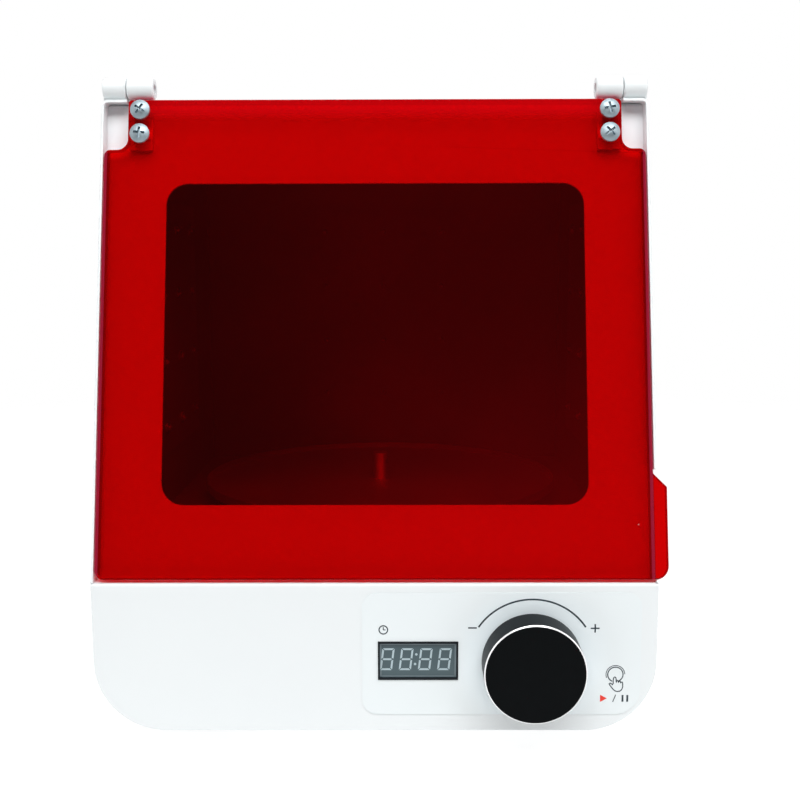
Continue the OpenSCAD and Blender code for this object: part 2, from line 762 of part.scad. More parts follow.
module fan_rotor() place() color("dimgray") translate([0, casing_d - sheet - fan_t + 2 + free_gap, fan_z]) {
    depth = fan_t - 3;
    facing_back(0, 0, 0) cylinder(r = rotor_hub_r, h = depth);
    facing_back(0, -2, 0) cylinder(r = 1.5, h = 2.1);
    intersection() {
        facing_back(0, 0, 0) cylinder(r = rotor_r, h = depth);
        for (i = [0:blade_count - 1]) rotate([0, i * 360 / blade_count, 0])
            translate([rotor_hub_r - 1, depth / 2, 0]) rotate([blade_pitch, 0, 0])
                translate([0, -depth / 2 - 1, -0.6]) cube([rotor_r, depth + 2, 1.2]);
    }
}

// Flat wire guard: three rings on two crossed bars, with an eye at each corner
module fan_guard() place() color("silver") translate([0, casing_d, fan_z]) difference() {
    union() {
        for (r = guard_ring_r) facing_back(0, guard_t / 2 + 1, 0) rotate_extrude()
            translate([r, 0]) circle(guard_wire_r);
        for (turn = [45, 135]) rotate([0, turn, 0]) translate([-fan_hole_at * sqrt(2), guard_t / 2, 0])
            rotate([0, 90, 0]) cylinder(r = guard_wire_r, h = 2 * fan_hole_at * sqrt(2));
        for (x = [-fan_hole_at, fan_hole_at], z = [-fan_hole_at, fan_hole_at])
            facing_back(x, 0, z) cylinder(r = guard_eye_r, h = guard_t);
    }
    for (x = [-fan_hole_at, fan_hole_at], z = [-fan_hole_at, fan_hole_at])
        facing_back(x, -cut, z) cylinder(r = m4[0], h = guard_t + 2 * cut);
}

module fan_screws() place() color("silver")
    for (x = [-fan_hole_at, fan_hole_at], z = [-fan_hole_at, fan_hole_at])
        facing_back(x, casing_d + guard_t, fan_z + z) pan_screw(m4, fan_t + guard_t);

module feet() place() color("black")
    for (x = [-foot_x, foot_x], y = foot_y) translate([x, y, -foot_h]) difference() {
    rotate_extrude() polygon([
        [m4[0], 0], [foot_r - 1.5, 0], [foot_r - 0.5, 1], [foot_r, foot_h], [m4[0], foot_h]
    ]);
    translate([0, 0, -cut]) cylinder(r = foot_pocket_r, h = foot_pocket_d + cut);
}

module foot_screws() place() color("silver") for (x = [-foot_x, foot_x], y = foot_y)
    translate([x, y, foot_pocket_d - foot_h]) mirror([0, 0, 1]) pan_screw(m4, foot_h - foot_pocket_d + 4);

module casing_screws() place() color("silver") {
    for (x = [-rear_screw_x, rear_screw_x], z = rear_screw_z) facing_back(x, casing_d, z)
        pan_screw(m3, m3_length);
    for (x = [-cover_screw_x, cover_screw_x], y = cover_screw_y) translate([x, y, casing_h])
        pan_screw(m3, m3_length);
}

// A barrel along x from x0 to x1 with broken edges, its axis on the hinge line
module barrel(x0, x1) translate([x0, hinge_y, hinge_z]) rotate([0, 90, 0]) rotate_extrude() polygon([
    [0, 0], [barrel_r - barrel_edge, 0], [barrel_r, barrel_edge],
    [barrel_r, x1 - x0 - barrel_edge], [barrel_r - barrel_edge, x1 - x0], [0, x1 - x0]
]);

module on_side(side) mirror([side < 0 ? 1 : 0, 0, 0]) children();

module hinge_fixed(side) on_side(side) difference() {
    union() {
        barrel(fixed_in_x, fixed_out_x);
        translate([fixed_in_x, hinge_y - 2, casing_h]) cube([fixed_barrel_l, leaf_len + 2, leaf_t]);
    }
    translate([fixed_in_x - cut, hinge_y, hinge_z]) rotate([0, 90, 0])
        cylinder(r = pin_r, h = fixed_barrel_l - 1 + cut);
    for (y = leaf_screw_y) translate([leaf_screw_x, y, casing_h - cut])
        cylinder(r = m4[0], h = leaf_t + 2 * cut);
}

module hinge_fixed_left() place() color("white") hinge_fixed(-1);

module hinge_fixed_right() place() color("white") hinge_fixed(1);

module hinge_pins() place() color("dimgray") for (side = [-1, 1]) on_side(side)
    translate([leaf_in_x + 1.5, hinge_y, hinge_z]) rotate([0, 90, 0])
        cylinder(r = pin_r, h = fixed_out_x - 1 - leaf_in_x - 1.5);

module hinge_screws() place() color("lightsteelblue")
    for (x = [-leaf_screw_x, leaf_screw_x], y = leaf_screw_y) translate([x, y, casing_h + leaf_t])
        pan_screw(m4, m4_length);

// The door's outline in its own plane, from its bottom edge up
module door_outline() difference() {
    union() {
        translate([-door_half_w, 0]) square([2 * door_half_w, door_len]);
        polygon([
            [0, 0],
            [tab_reach, 0],
            [tab_reach, tab_h],
            [door_half_w, tab_h + tab_reach - door_half_w],
            [0, tab_h + tab_reach - door_half_w]
        ]);
    }
    corner_at(-door_half_w, 0, 1, 1, door_corner_r);
    corner_at(tab_reach, 0, -1, 1, tab_corner_r);
    for (side = [-1, 1]) {
        difference() {
            translate([side > 0 ? door_half_w - notch_w : -door_half_w - cut, door_len - notch_h])
                square([notch_w + cut, notch_h + cut]);
            corner_at(side * (door_half_w - notch_w), door_len - notch_h, side, 1, notch_inner_r);
        }
        corner_at(side * door_half_w, door_len - notch_h, -side, -1, notch_outer_r);
        corner_at(side * (door_half_w - notch_w), door_len, -side, -1, 1.5);
    }
}

module door_panel() place() color("red") on_slope() translate([0, door_bottom_gap, -door_t]) difference() {
    linear_extrude(door_t) door_outline();
    for (x = [-door_screw_x, door_screw_x], drop = door_screw_drop) translate([x, door_len - drop, -cut])
        cylinder(r = door_hole_r, h = door_t + 2 * cut);
}

module hinge_leaf(side) on_side(side) difference() {
    union() {
        barrel(leaf_in_x, leaf_in_x + door_barrel_l);
        on_slope()
            translate([leaf_in_x + (door_barrel_l - leaf_w) / 2, hinge_s - leaf_len, -door_t - leaf_t])
            cube([leaf_w, leaf_len, leaf_t]);
    }
    translate([leaf_in_x - cut, hinge_y, hinge_z]) rotate([0, 90, 0])
        cylinder(r = pin_r + running_gap, h = door_barrel_l + 2 * cut);
    on_slope() for (drop = door_screw_drop)
        translate([door_screw_x, slope_len - drop, -door_t - leaf_t - cut])
        cylinder(r = m4[0], h = leaf_t + 2 * cut);
}

module hinge_leaf_left() place() color("white") hinge_leaf(-1);

module hinge_leaf_right() place() color("white") hinge_leaf(1);

module door_screws() place() color("lightsteelblue") on_slope()
    for (x = [-door_screw_x, door_screw_x], drop = door_screw_drop) translate([x, slope_len - drop, 0])
        rotate(x * 0.7 + drop * 3) pan_screw(m4, door_t + leaf_t);

module control_knob() place() color("black") facing_front(knob_x, 0, knob_z) rotate_extrude() polygon([
    [shaft_r, knob_back + knob_recess_d],
    [knob_recess_r, knob_back + knob_recess_d],
    [knob_recess_r, knob_back],
    [knob_d / 2 - 0.4, knob_back],
    [knob_d / 2, knob_back + 0.4],
    [knob_d / 2, knob_front - knob_chamfer],
    [knob_d / 2 - knob_chamfer, knob_front],
    [0, knob_front],
    [0, knob_front - 2],
    [shaft_r, knob_front - 2]
]);

module encoder_shaft() place() color("silver") facing_front(knob_x, 5.5, knob_z)
    cylinder(r = shaft_r, h = 5.5 + knob_front - 2);

module turntable_plate() place() color("silver")
    translate([0, turntable_y, turntable_z]) rotate_extrude() polygon([
    [shaft_r, 0],
    [turntable_d / 2, 0],
    [turntable_d / 2, rim_h],
    [turntable_d / 2 - rim_w, rim_h],
    [turntable_d / 2 - rim_w, plate_t],
    [shaft_r, plate_t]
]);

module turntable_hub() place() color("gray") translate([0, turntable_y, 0]) {
    translate([0, 0, shaft_low_z]) cylinder(r = shaft_r, h = turntable_z + plate_t - shaft_low_z);
    translate([0, 0, turntable_z - hub_t]) cylinder(r = hub_r, h = hub_t);
    translate([0, 0, turntable_z]) cylinder(r = stud_r, h = plate_t + stud_h);
}

module turntable_nut() place() color("silver")
    translate([0, turntable_y, turntable_z + plate_t]) difference() {
    cylinder(r = spindle_nut_r, h = spindle_nut_h);
    translate([0, 0, -cut]) cylinder(r = stud_r, h = stud_h + cut);
}

outer_shell();
top_cover();
rear_panel();
front_panel();
front_frame();
control_label();
display_bezel();
display_module();
control_board();
panel_standoffs();
encoder_body();
encoder_nut();
touch_sensor();
support_rail_left();
support_rail_right();
chamber_floor();
chamber_side_left();
chamber_side_right();
chamber_back();
chamber_ceiling();
lamp_board_left();
lamp_board_right();
lamp_board_back();
lamp_board_top();
leds_left();
leds_right();
leds_back();
leds_top();
lamp_heat_sink();
turntable_motor();
motor_screws();
driver_board();
driver_transformer();
driver_capacitors();
driver_standoffs();
power_inlet();
inlet_pins();
inlet_screws();
switch_housing();
fan_frame();
fan_guard();
fan_screws();
feet();
foot_screws();
casing_screws();
hinge_fixed_left();
hinge_fixed_right();
hinge_pins();
hinge_screws();
door_panel();
hinge_leaf_left();
hinge_leaf_right();
door_screws();
control_knob();
encoder_shaft();
turntable_plate();
turntable_hub();
turntable_nut();
fan_rotor();
power_rocker();
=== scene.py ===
import json
import math

import bmesh
import bpy
from mathutils import Matrix, Vector


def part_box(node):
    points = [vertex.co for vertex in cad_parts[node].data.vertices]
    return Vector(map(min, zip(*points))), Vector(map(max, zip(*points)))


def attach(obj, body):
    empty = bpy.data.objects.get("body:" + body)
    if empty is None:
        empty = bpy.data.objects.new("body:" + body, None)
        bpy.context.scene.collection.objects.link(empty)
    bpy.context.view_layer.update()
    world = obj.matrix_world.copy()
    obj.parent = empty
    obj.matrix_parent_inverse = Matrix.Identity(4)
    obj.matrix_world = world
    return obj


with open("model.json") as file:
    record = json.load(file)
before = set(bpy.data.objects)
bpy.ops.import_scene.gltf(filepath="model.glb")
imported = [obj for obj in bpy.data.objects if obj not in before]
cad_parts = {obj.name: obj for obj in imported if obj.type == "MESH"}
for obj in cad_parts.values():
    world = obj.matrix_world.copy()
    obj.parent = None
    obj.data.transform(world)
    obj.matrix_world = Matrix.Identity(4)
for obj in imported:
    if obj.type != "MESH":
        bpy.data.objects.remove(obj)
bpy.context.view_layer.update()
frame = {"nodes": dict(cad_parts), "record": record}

# Places are given in millimetres in the control panel's own frame: x from the casing's middle,
# y back from the panel's face, z up from the casing's bottom.
MM = 0.001
ORIGIN_X = 2.0
ORIGIN_Y = 110.6
FOOT_H = 8.0

DOOR_LEAN = 13.1
LABEL_FACE = -0.3
INK_THICK = 0.03
KNOB_AT = (62.6, 29.3)
KNOB_R = 20.0
KNOB_FACE = -14.95
CHAMFER_BACK = -12.0
CHAMFER_W = 0.5
DISPLAY_AT = (17.3, 29.5)
DISPLAY_HALF = (14.6, 6.4)
DISPLAY_FACE = 0.3
TOUCH_AT = (96.1, 23.7)
TURNTABLE_AT = (0.0, 114.0)
SWITCH_AT = (-22.0, 229.0, 36.0)
ROCKER_TILT = 10.0


def at(x, y, z):
    """The place in the row frame, in metres, of a point of the panel's frame in millimetres."""
    return Vector((x - ORIGIN_X, y - ORIGIN_Y, z + FOOT_H)) * MM


# Node graphs

class Graph:
    """One node material. A value that is a socket is linked, a number or colour is set on its socket."""

    def __init__(self, name):
        self.material = bpy.data.materials.new(name)
        self.material.use_nodes = True
        self.nodes = self.material.node_tree.nodes
        self.links = self.material.node_tree.links
        self.nodes.clear()

    def add(self, kind, inputs=None, **settings):
        node = self.nodes.new("ShaderNode" + kind)
        for key, value in settings.items():
            setattr(node, key, value)
        for key, value in (inputs or {}).items():
            self.put(node.inputs[key], value)
        return node

    def put(self, socket, value):
        if isinstance(value, bpy.types.NodeSocket):
            self.links.new(value, socket)
        else:
            socket.default_value = value

    def place(self):
        return self.add("TexCoord").outputs["Object"]

    def normal(self):
        return self.add("TexCoord").outputs["Normal"]

    def math(self, operation, a, b=0.0):
        return self.add("Math", {0: a, 1: b}, operation=operation).outputs[0]

    def vector(self, operation, a, b):
        node = self.add("VectorMath", {0: a, 1: b}, operation=operation)
        return node.outputs["Value" if operation in ("DOT_PRODUCT", "LENGTH", "DISTANCE") else "Vector"]

    def noise(self, size, detail=3.0, rough=0.5):
        """Noise from 0 to 1 whose features are about size millimetres across."""
        node = self.add("TexNoise", {"Vector": self.place(), "Detail": detail, "Roughness": rough})
        node.inputs["Scale"].default_value = 1.0 / (size * MM)
        return node.outputs["Fac"]

    def cells(self, size):
        """Cells about size millimetres across."""
        return self.add("TexVoronoi", {"Vector": self.place(), "Scale": 1.0 / (size * MM)})

    def axis(self, name, vector=None):
        """The X, Y or Z part of a vector, by default of the place."""
        return self.add("SeparateXYZ", {"Vector": vector or self.place()}).outputs[name]

    def range(self, value, low, high, to_low, to_high, kind="LINEAR"):
        """Turns low to high into to_low to to_high, and stops at both ends."""
        node = self.add("MapRange", {"Value": value}, interpolation_type=kind)
        node.inputs["From Min"].default_value = low
        node.inputs["From Max"].default_value = high
        node.inputs["To Min"].default_value = to_low
        node.inputs["To Max"].default_value = to_high
        return node.outputs["Result"]

    def mix(self, factor, a, b):
        """Colour a where the factor is 0 and colour b where it is 1."""
        node = self.add("Mix", data_type="RGBA")
        self.put(node.inputs[0], factor)
        self.put(node.inputs[6], a)
        self.put(node.inputs[7], b)
        return node.outputs[2]

    def bump(self, height, depth, strength):
        """A relief of the given depth in millimetres."""
        node = self.add("Bump", {"Height": height, "Distance": depth * MM, "Strength": strength})
        return node.outputs["Normal"]

    def principled(self, **inputs):
        """The common surface shader, with its inputs named by words joined with underscores."""
        node = self.add("BsdfPrincipled")
        for key, value in inputs.items():
            self.put(node.inputs[key.replace("_", " ")], value)
        return node.outputs[0]

    def diffuse(self, colour):
        return self.add("BsdfDiffuse", {"Color": colour}).outputs[0]

    def blend(self, factor, a, b):
        """Shader a where the factor is 0 and shader b where it is 1."""
        return self.add("MixShader", {0: factor, 1: a, 2: b}).outputs[0]

    def finish(self, shader):
        self.add("OutputMaterial", {"Surface": shader})
        return self.material


def rgb(r, g, b):
    return (r, g, b, 1.0)


def scaled(colour, factor):
    """A colour made darker or lighter."""
    return rgb(*(min(1.0, factor * c) for c in colour))


# Materials

def powder_coat(name="powder_coat", tone=(0.80, 0.835, 0.845)):
    """White polyester powder coat: fine orange peel with a faint drift of tone."""
    g = Graph(name)
    drift = g.noise(60, 2)
    colour = g.mix(drift, scaled(tone, 0.985), scaled(tone, 1.015))
    peel = g.noise(0.9, 2, 0.55)
    grit = g.noise(0.16, 2, 0.6)
    height = g.math("ADD", peel, g.math("MULTIPLY", grit, 0.25))
    rough = g.range(g.noise(4, 3), 0.3, 0.7, 0.34, 0.42)
    return g.finish(g.principled(Base_Color=colour, Roughness=rough, Normal=g.bump(height, 0.02, 0.35)))


def label_film():
    """Matt polycarbonate film, a little cooler than the coat, with painted light round the knob and
    painted shade on the faces that look up.
    """
    g = Graph("label_film")
    plain = g.mix(g.noise(30, 2), rgb(0.755, 0.805, 0.82), rgb(0.77, 0.82, 0.83))
    # Painted light: the film turns a pale blue-white round the knob, lifting the shade the knob casts on
    # it.
    painted_light_round_knob = g.range(turned_about(g, *KNOB_AT), KNOB_R * MM, 1.7 * KNOB_R * MM, 1.0, 0.0, "SMOOTHSTEP")
    pale = g.mix(painted_light_round_knob, plain, rgb(0.84, 0.92, 0.95))
    # Painted shade: faces that look up, such as the film's top edge, are darkened.
    painted_shade_up_faces = g.range(g.axis("Z", g.normal()), 0.3, 0.7, 0.0, 1.0)
    colour = g.mix(painted_shade_up_faces, pale, rgb(0.6, 0.64, 0.65))
    grain = g.noise(0.12, 2, 0.6)
    rough = g.range(g.noise(6, 3), 0.3, 0.7, 0.42, 0.5)
    return g.finish(g.principled(Base_Color=colour, Roughness=rough, Normal=g.bump(grain, 0.006, 0.4)))


def ink(name, colour):
    """Screen-printed ink with slightly uneven cover."""
    g = Graph(name)
    cover = g.noise(0.35, 3, 0.6)
    pale = [min(1.0, c * 1.5 + 0.012) for c in colour]
    shade = g.mix(g.range(cover, 0.45, 0.75, 0.0, 1.0), rgb(*colour), rgb(*pale))
    rough = g.range(cover, 0.3, 0.7, 0.38, 0.52)
    return g.finish(g.principled(Base_Color=shade, Roughness=rough, Specular_IOR_Level=0.2))


# Red acrylic of the door, in the door's own place: it leans back and turns with the hinge

DOOR_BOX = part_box("door_panel")
DOOR_MIDDLE = at(0, 0, 0).x
DOOR_HALF = DOOR_MIDDLE - DOOR_BOX[0][0]
DOOR_LOW = DOOR_BOX[0][2]
DOOR_TOP = DOOR_BOX[1][2]
# Middle of a spot of painted light, low on the right of the door.
PAINTED_GLOW_AT = (75, 65)


def tinted_pane(g, across, side):
    """See-through red with a faint diffuse haze. Painted shade deepens the red along the sides and on the
    handle tab, and painted light brightens the haze towards the right and round a spot low on the right.
    """
    pane = g.mix(g.noise(18, 3), rgb(0.865, 0.0012, 0.0035), rgb(0.875, 0.0015, 0.0045))
    # Painted shade: the red deepens along the side edges.
    border = g.range(side, DOOR_HALF - 2.2 * MM, DOOR_HALF - 0.8 * MM, 0.0, 1.0)
    # Painted shade: the handle tab is a deeper red than the pane.
    handle = g.math("GREATER_THAN", side, DOOR_HALF)
    tint = g.mix(border, pane, rgb(0.717, 0.001, 0.006))
    tint = g.mix(handle, tint, rgb(0.76, 0.001, 0.004))
    clear = g.add("BsdfTransparent", {"Color": tint}).outputs[0]
    # Painted light: extra diffuse haze round a spot low on the right and towards the right side brightens
    # the pane; the least of it, everywhere, is the acrylic's own haze.
    painted_glow_spot = g.range(turned_about(g, *PAINTED_GLOW_AT), 20 * MM, 140 * MM, 0.018, 0.0, "SMOOTHSTEP")
    film = g.range(across, -90 * MM, 10 * MM, 0.0105, 0.018, "SMOOTHSTEP")
    patchy = g.range(g.noise(45, 3), 0.3, 0.7, 0.9, 1.1)
    haze = g.math("MULTIPLY", g.math("ADD", painted_glow_spot, film), patchy)
    return g.blend(haze, clear, g.diffuse(rgb(0.85, 0.0015, 0.012)))


def painted_border_light_and_shadow(g, shader, seen, side, height):
    """A band of painted light along the top, and lines of painted shadow down the sides and along the
    bottom edge, which still let the light in.
    """
    # Painted light: a diffuse red band brightens the top of the pane.
    top = g.range(height, DOOR_TOP - 9 * MM, DOOR_TOP - 4 * MM, 0.0, 0.5, "SMOOTHSTEP")
    shader = g.blend(g.math("MULTIPLY", seen, top), shader, g.diffuse(rgb(0.56, 0.001, 0.004)))
    # Painted shadow: dark red lines along the side edges and the bottom edge.
    inside = g.math("LESS_THAN", side, DOOR_HALF)
    sides = g.range(side, DOOR_HALF - 1.4 * MM, DOOR_HALF - 1.1 * MM, 0.0, 0.8)
    painted_foot_shadow = g.range(height, DOOR_LOW + 0.4 * MM, DOOR_LOW + 0.6 * MM, 0.8, 0.0)
    painted_edge_shadow = g.math("MAXIMUM", g.math("MULTIPLY", inside, sides), painted_foot_shadow)
    return g.blend(g.math("MULTIPLY", seen, painted_edge_shadow), shader, g.diffuse(rgb(0.28, 0.012, 0.035)))


def polished(g, shader):
    """A clear gloss that grows towards grazing views."""
    rough = g.range(g.noise(8, 3), 0.3, 0.7, 0.02, 0.05)
    ripple = g.bump(g.noise(25, 1), 0.03, 0.25)
    gloss = g.add("BsdfGlossy", {"Color": rgb(0.95, 0.9, 0.9), "Roughness": rough, "Normal": ripple})
    facing = g.add("LayerWeight", {"Blend": 0.5}).outputs["Facing"]
    mirror = g.range(g.math("POWER", facing, 5.0), 0.0, 1.0, 0.04, 1.0)
    return g.blend(mirror, shader, gloss.outputs[0])


def glowing_edges(g, shader, seen, height):
    """The cut edges show a painted glow in milky pink, and painted shadow in deep red along the bottom
    edge.
    """
    lean = math.radians(DOOR_LEAN)
    face = (0.0, -math.cos(lean), math.sin(lean))
    turned = g.math("ABSOLUTE", g.vector("DOT_PRODUCT", g.normal(), face))
    edge = g.range(turned, 0.5, 0.9, 0.8, 0.0)
    # Painted glow and shadow: the edge faces are a lit pink, turning deep red at the bottom edge.
    painted_foot_shadow = g.range(height, DOOR_LOW + 0.6 * MM, DOOR_LOW + 1.2 * MM, 1.0, 0.0)
    colour = g.mix(painted_foot_shadow, rgb(0.6, 0.035, 0.09), rgb(0.16, 0.008, 0.02))
    cut = g.range(g.noise(0.5, 3), 0.3, 0.7, 0.16, 0.3)
    glow = g.principled(Base_Color=colour, Roughness=cut)
    return g.blend(g.math("MULTIPLY", edge, seen), shader, glow)


def dusty(g, shader):
    """A few specks of dust."""
    speck = g.math("LESS_THAN", g.cells(26).outputs["Distance"], 0.011)
    dust = g.principled(Base_Color=rgb(0.5, 0.2, 0.2), Roughness=0.8)
    return g.blend(g.math("MULTIPLY", speck, 0.6), shader, dust)


def red_acrylic():
    """Clear red cast acrylic. Its borders and edges cast no shadow on the frame behind."""
    g = Graph("red_acrylic")
    across = g.math("SUBTRACT", g.axis("X"), DOOR_MIDDLE)
    side = g.math("ABSOLUTE", across)
    height = g.axis("Z")
    seen = g.math("SUBTRACT", 1.0, g.add("LightPath").outputs["Is Shadow Ray"])
    shader = tinted_pane(g, across, side)
    shader = painted_border_light_and_shadow(g, shader, seen, side, height)
    shader = polished(g, shader)
    shader = glowing_edges(g, shader, seen, height)
    return g.finish(dusty(g, shader))


# Metals, plastics and printed boards

def metal(name, colour, rough, grain=0.3, depth=0.004, patch=2.0):
    """Plain metal with a fine grain and a soft patchiness of its plating."""
    g = Graph(name)
    drift = g.noise(patch, 3)
    shade = g.mix(drift, scaled(colour, 0.9), scaled(colour, 1.08))
    fine = g.noise(grain, 3, 0.6)
    roughness = g.range(drift, 0.3, 0.7, rough * 0.8, rough * 1.25)
    return g.finish(g.principled(
        Base_Color=shade, Metallic=1.0, Roughness=roughness, Normal=g.bump(fine, depth, 0.5)))


def galvanised():
    """Zinc spangle: flat crystals with slightly different tone and gloss."""
    g = Graph("galvanised_sheet")
    tone = g.add("SeparateColor", {"Color": g.cells(5).outputs["Color"]}).outputs[0]
    shade = g.mix(tone, rgb(0.50, 0.52, 0.53), rgb(0.68, 0.70, 0.71))
    rough = g.range(tone, 0.0, 1.0, 0.3, 0.5)
    return g.finish(g.principled(
        Base_Color=shade, Metallic=1.0, Roughness=rough, Normal=g.bump(g.noise(0.4, 3), 0.004, 0.4)))


def plastic(name, colour, rough, texture=0.35, depth=0.01, specular=0.5):
    """Moulded plastic or rubber with a fine spark texture."""
    g = Graph(name)
    spark = g.noise(texture, 3, 0.65)
    shade = g.mix(g.noise(9, 2), scaled(colour, 0.9), scaled(colour, 1.12))
    roughness = g.range(spark, 0.3, 0.7, rough * 0.85, rough * 1.15)
    grain = g.bump(spark, depth, 0.5)
    return g.finish(g.principled(
        Base_Color=shade, Roughness=roughness, Specular_IOR_Level=specular, Normal=grain))


def turned_about(g, x, z):
    """Distance in metres from an axis that runs along y."""
    centre = at(x, 0, z)
    flat = g.vector("MULTIPLY", g.place(), (1.0, 0.0, 1.0))
    return g.vector("DISTANCE", flat, (centre.x, 0.0, centre.z))


def black_anodised():
    """Turned black knob: fine rings on its face, straight satin side and a cut chamfer of pale metal with
    a painted highlight.
    """
    g = Graph("black_anodised")
    radius = turned_about(g, *KNOB_AT)
    forward = g.axis("Y")
    front = g.math("LESS_THAN", forward, at(0, CHAMFER_BACK, 0).y)
    over = g.math("GREATER_THAN", radius, (KNOB_R - CHAMFER_W) * MM)
    under = g.math("LESS_THAN", radius, (KNOB_R - 0.03) * MM)
    chamfer = g.math("MULTIPLY", front, g.math("MULTIPLY", over, under))
    rings = g.math("SINE", g.math("MULTIPLY", radius, 2 * math.pi / (0.22 * MM)))
    lines = g.math("SINE", g.math("MULTIPLY", forward, 2 * math.pi / (0.25 * MM)))
    on_face = g.math("LESS_THAN", forward, at(0, KNOB_FACE, 0).y)
    satin = g.bump(g.mix(on_face, lines, rings), 0.004, 0.35)
    shade = g.mix(g.noise(3, 2), rgb(0.0012, 0.0018, 0.0022), rgb(0.0022, 0.003, 0.0036))
    rough = g.range(g.noise(1.2, 3), 0.3, 0.7, 0.3, 0.38)
    face = g.principled(Base_Color=shade, Roughness=rough, Specular_IOR_Level=0.05, Normal=satin)
    soot = rgb(0.0035, 0.006, 0.008)
    wall = g.principled(Base_Color=soot, Roughness=0.36, Specular_IOR_Level=0.05, Normal=satin)
    # Partly painted highlight: the chamfer is only partly metallic, so its white diffuse share stays light
    # where metal would mirror shade.
    bright = g.principled(Base_Color=rgb(0.95, 0.96, 0.97), Metallic=0.35, Roughness=0.25)
    return g.finish(g.blend(chamfer, g.blend(on_face, wall, face), bright))


def display_face():
    """Grey filter face of the display with a lighter moulded lip."""
    g = Graph("display_face")
    centre = at(DISPLAY_AT[0], 0, DISPLAY_AT[1])
    across = g.math("ABSOLUTE", g.math("SUBTRACT", g.axis("X"), centre.x))
    up = g.math("ABSOLUTE", g.math("SUBTRACT", g.axis("Z"), centre.z))
    past_side = g.math("GREATER_THAN", across, DISPLAY_HALF[0] * MM)
    past_top = g.math("GREATER_THAN", up, DISPLAY_HALF[1] * MM)
    lip = g.math("MAXIMUM", past_side, past_top)
    # Painted shade: the face is lighter at the bottom and darker towards the top.
    painted_shade_towards_top = g.range(g.axis("Z"), centre.z - 7 * MM, centre.z + 7 * MM, 0.0, 1.0)
    shade = g.mix(painted_shade_towards_top, rgb(0.058, 0.095, 0.108), rgb(0.042, 0.075, 0.088))
    face = g.mix(lip, shade, rgb(0.15, 0.2, 0.225))
    rough = g.range(g.noise(2, 2), 0.3, 0.7, 0.3, 0.4)
    grain = g.bump(g.noise(0.3, 2), 0.003, 0.4)
    return g.finish(g.principled(Base_Color=face, Roughness=rough, Normal=grain))


def segment_paint():
    """Pale segments that are off."""
    g = Graph("display_segments")
    shade = g.mix(g.noise(0.8, 2), rgb(0.36, 0.46, 0.50), rgb(0.44, 0.54, 0.58))
    grain = g.bump(g.noise(0.2, 2), 0.004, 0.4)
    return g.finish(g.principled(Base_Color=shade, Roughness=0.4, Normal=grain))


def turned_plate():
    """Turned dull aluminium with fine rings about its spindle."""
    g = Graph("turned_plate")
    centre = at(TURNTABLE_AT[0], TURNTABLE_AT[1], 0)
    flat = g.vector("MULTIPLY", g.place(), (1.0, 1.0, 0.0))
    radius = g.vector("DISTANCE", flat, (centre.x, centre.y, 0.0))
    rings = g.math("SINE", g.math("MULTIPLY", radius, 2 * math.pi / (0.6 * MM)))
    stain = g.noise(40, 2)
    shade = g.mix(stain, rgb(0.42, 0.43, 0.44), rgb(0.48, 0.49, 0.50))
    rough = g.range(stain, 0.3, 0.7, 0.46, 0.52)
    return g.finish(g.principled(
        Base_Color=shade, Metallic=1.0, Roughness=rough, Normal=g.bump(rings, 0.001, 0.2)))


def circuit_board(name, resist, copper):
    """Solder resist over copper: broad tracks show through as a slightly different tone."""
    g = Graph(name)
    cells = g.cells(6)
    cells.distance = "MANHATTAN"
    track = g.range(cells.outputs["Distance"], 0.36, 0.38, 0.0, 1.0)
    shade = g.mix(track, rgb(*resist), rgb(*copper))
    return g.finish(g.principled(Base_Color=shade, Roughness=0.35, Normal=g.bump(track, 0.03, 0.5)))


def led_lens():
    """Clear dome over a yellow phosphor and a pale base."""
    g = Graph("led_lens")
    shade = g.mix(g.noise(0.8, 2), rgb(0.13, 0.115, 0.06), rgb(0.19, 0.17, 0.1))
    rough = g.range(g.noise(0.5, 2), 0.3, 0.7, 0.08, 0.16)
    return g.finish(g.principled(Base_Color=shade, Roughness=rough, Coat_Weight=0.6))


def tape():
    """Yellow tape wound round a coil."""
    g = Graph("coil_tape")
    wraps = g.math("SINE", g.math("MULTIPLY", g.axis("Z"), 2 * math.pi / (3 * MM)))
    shade = g.mix(g.range(wraps, 0.85, 1.0, 0.0, 1.0), rgb(0.62, 0.44, 0.06), rgb(0.4, 0.27, 0.03))
    return g.finish(g.principled(Base_Color=shade, Roughness=0.35, Normal=g.bump(wraps, 0.05, 0.3)))


LOOK = {
    "powder_coat": powder_coat(),
    "label_film": label_film(),
    "red_acrylic": red_acrylic(),
    "zinc_steel": metal("zinc_steel", (0.40, 0.485, 0.53), 0.5, 0.2, 0.003, 1.5),
    "black_anodised": black_anodised(),
    "black_plastic": plastic("black_plastic", (0.012, 0.012, 0.013), 0.42),
    "display_face": display_face(),
    "circuit_board": circuit_board("circuit_board", (0.012, 0.10, 0.04), (0.02, 0.16, 0.06)),
    "brass": metal("brass", (0.72, 0.52, 0.2), 0.25),
    "galvanised_sheet": galvanised(),
    "liner_paint": plastic("liner_paint", (0.10, 0.10, 0.105), 0.45, 0.8, 0.015),
    "lamp_board": circuit_board("lamp_board", (0.085, 0.085, 0.087), (0.10, 0.10, 0.10)),
    "led_lens": led_lens(),
    "bare_aluminium": metal("bare_aluminium", (0.74, 0.75, 0.76), 0.34, 0.4, 0.006, 6),
    "motor_steel": metal("motor_steel", (0.55, 0.56, 0.57), 0.28),
    "coil_tape": tape(),
    "capacitor_sleeve": plastic("capacitor_sleeve", (0.015, 0.02, 0.07), 0.25, 0.6, 0.004),
    "black_rubber": plastic("black_rubber", (0.018, 0.018, 0.018), 0.7, 0.5, 0.02),
}
INK_DARK = ink("ink_dark", (0.022, 0.035, 0.045))
INK_RED = ink("ink_red", (0.72, 0.045, 0.03))
SEGMENTS = segment_paint()
MARKS = ink("switch_marks", (0.75, 0.76, 0.76))


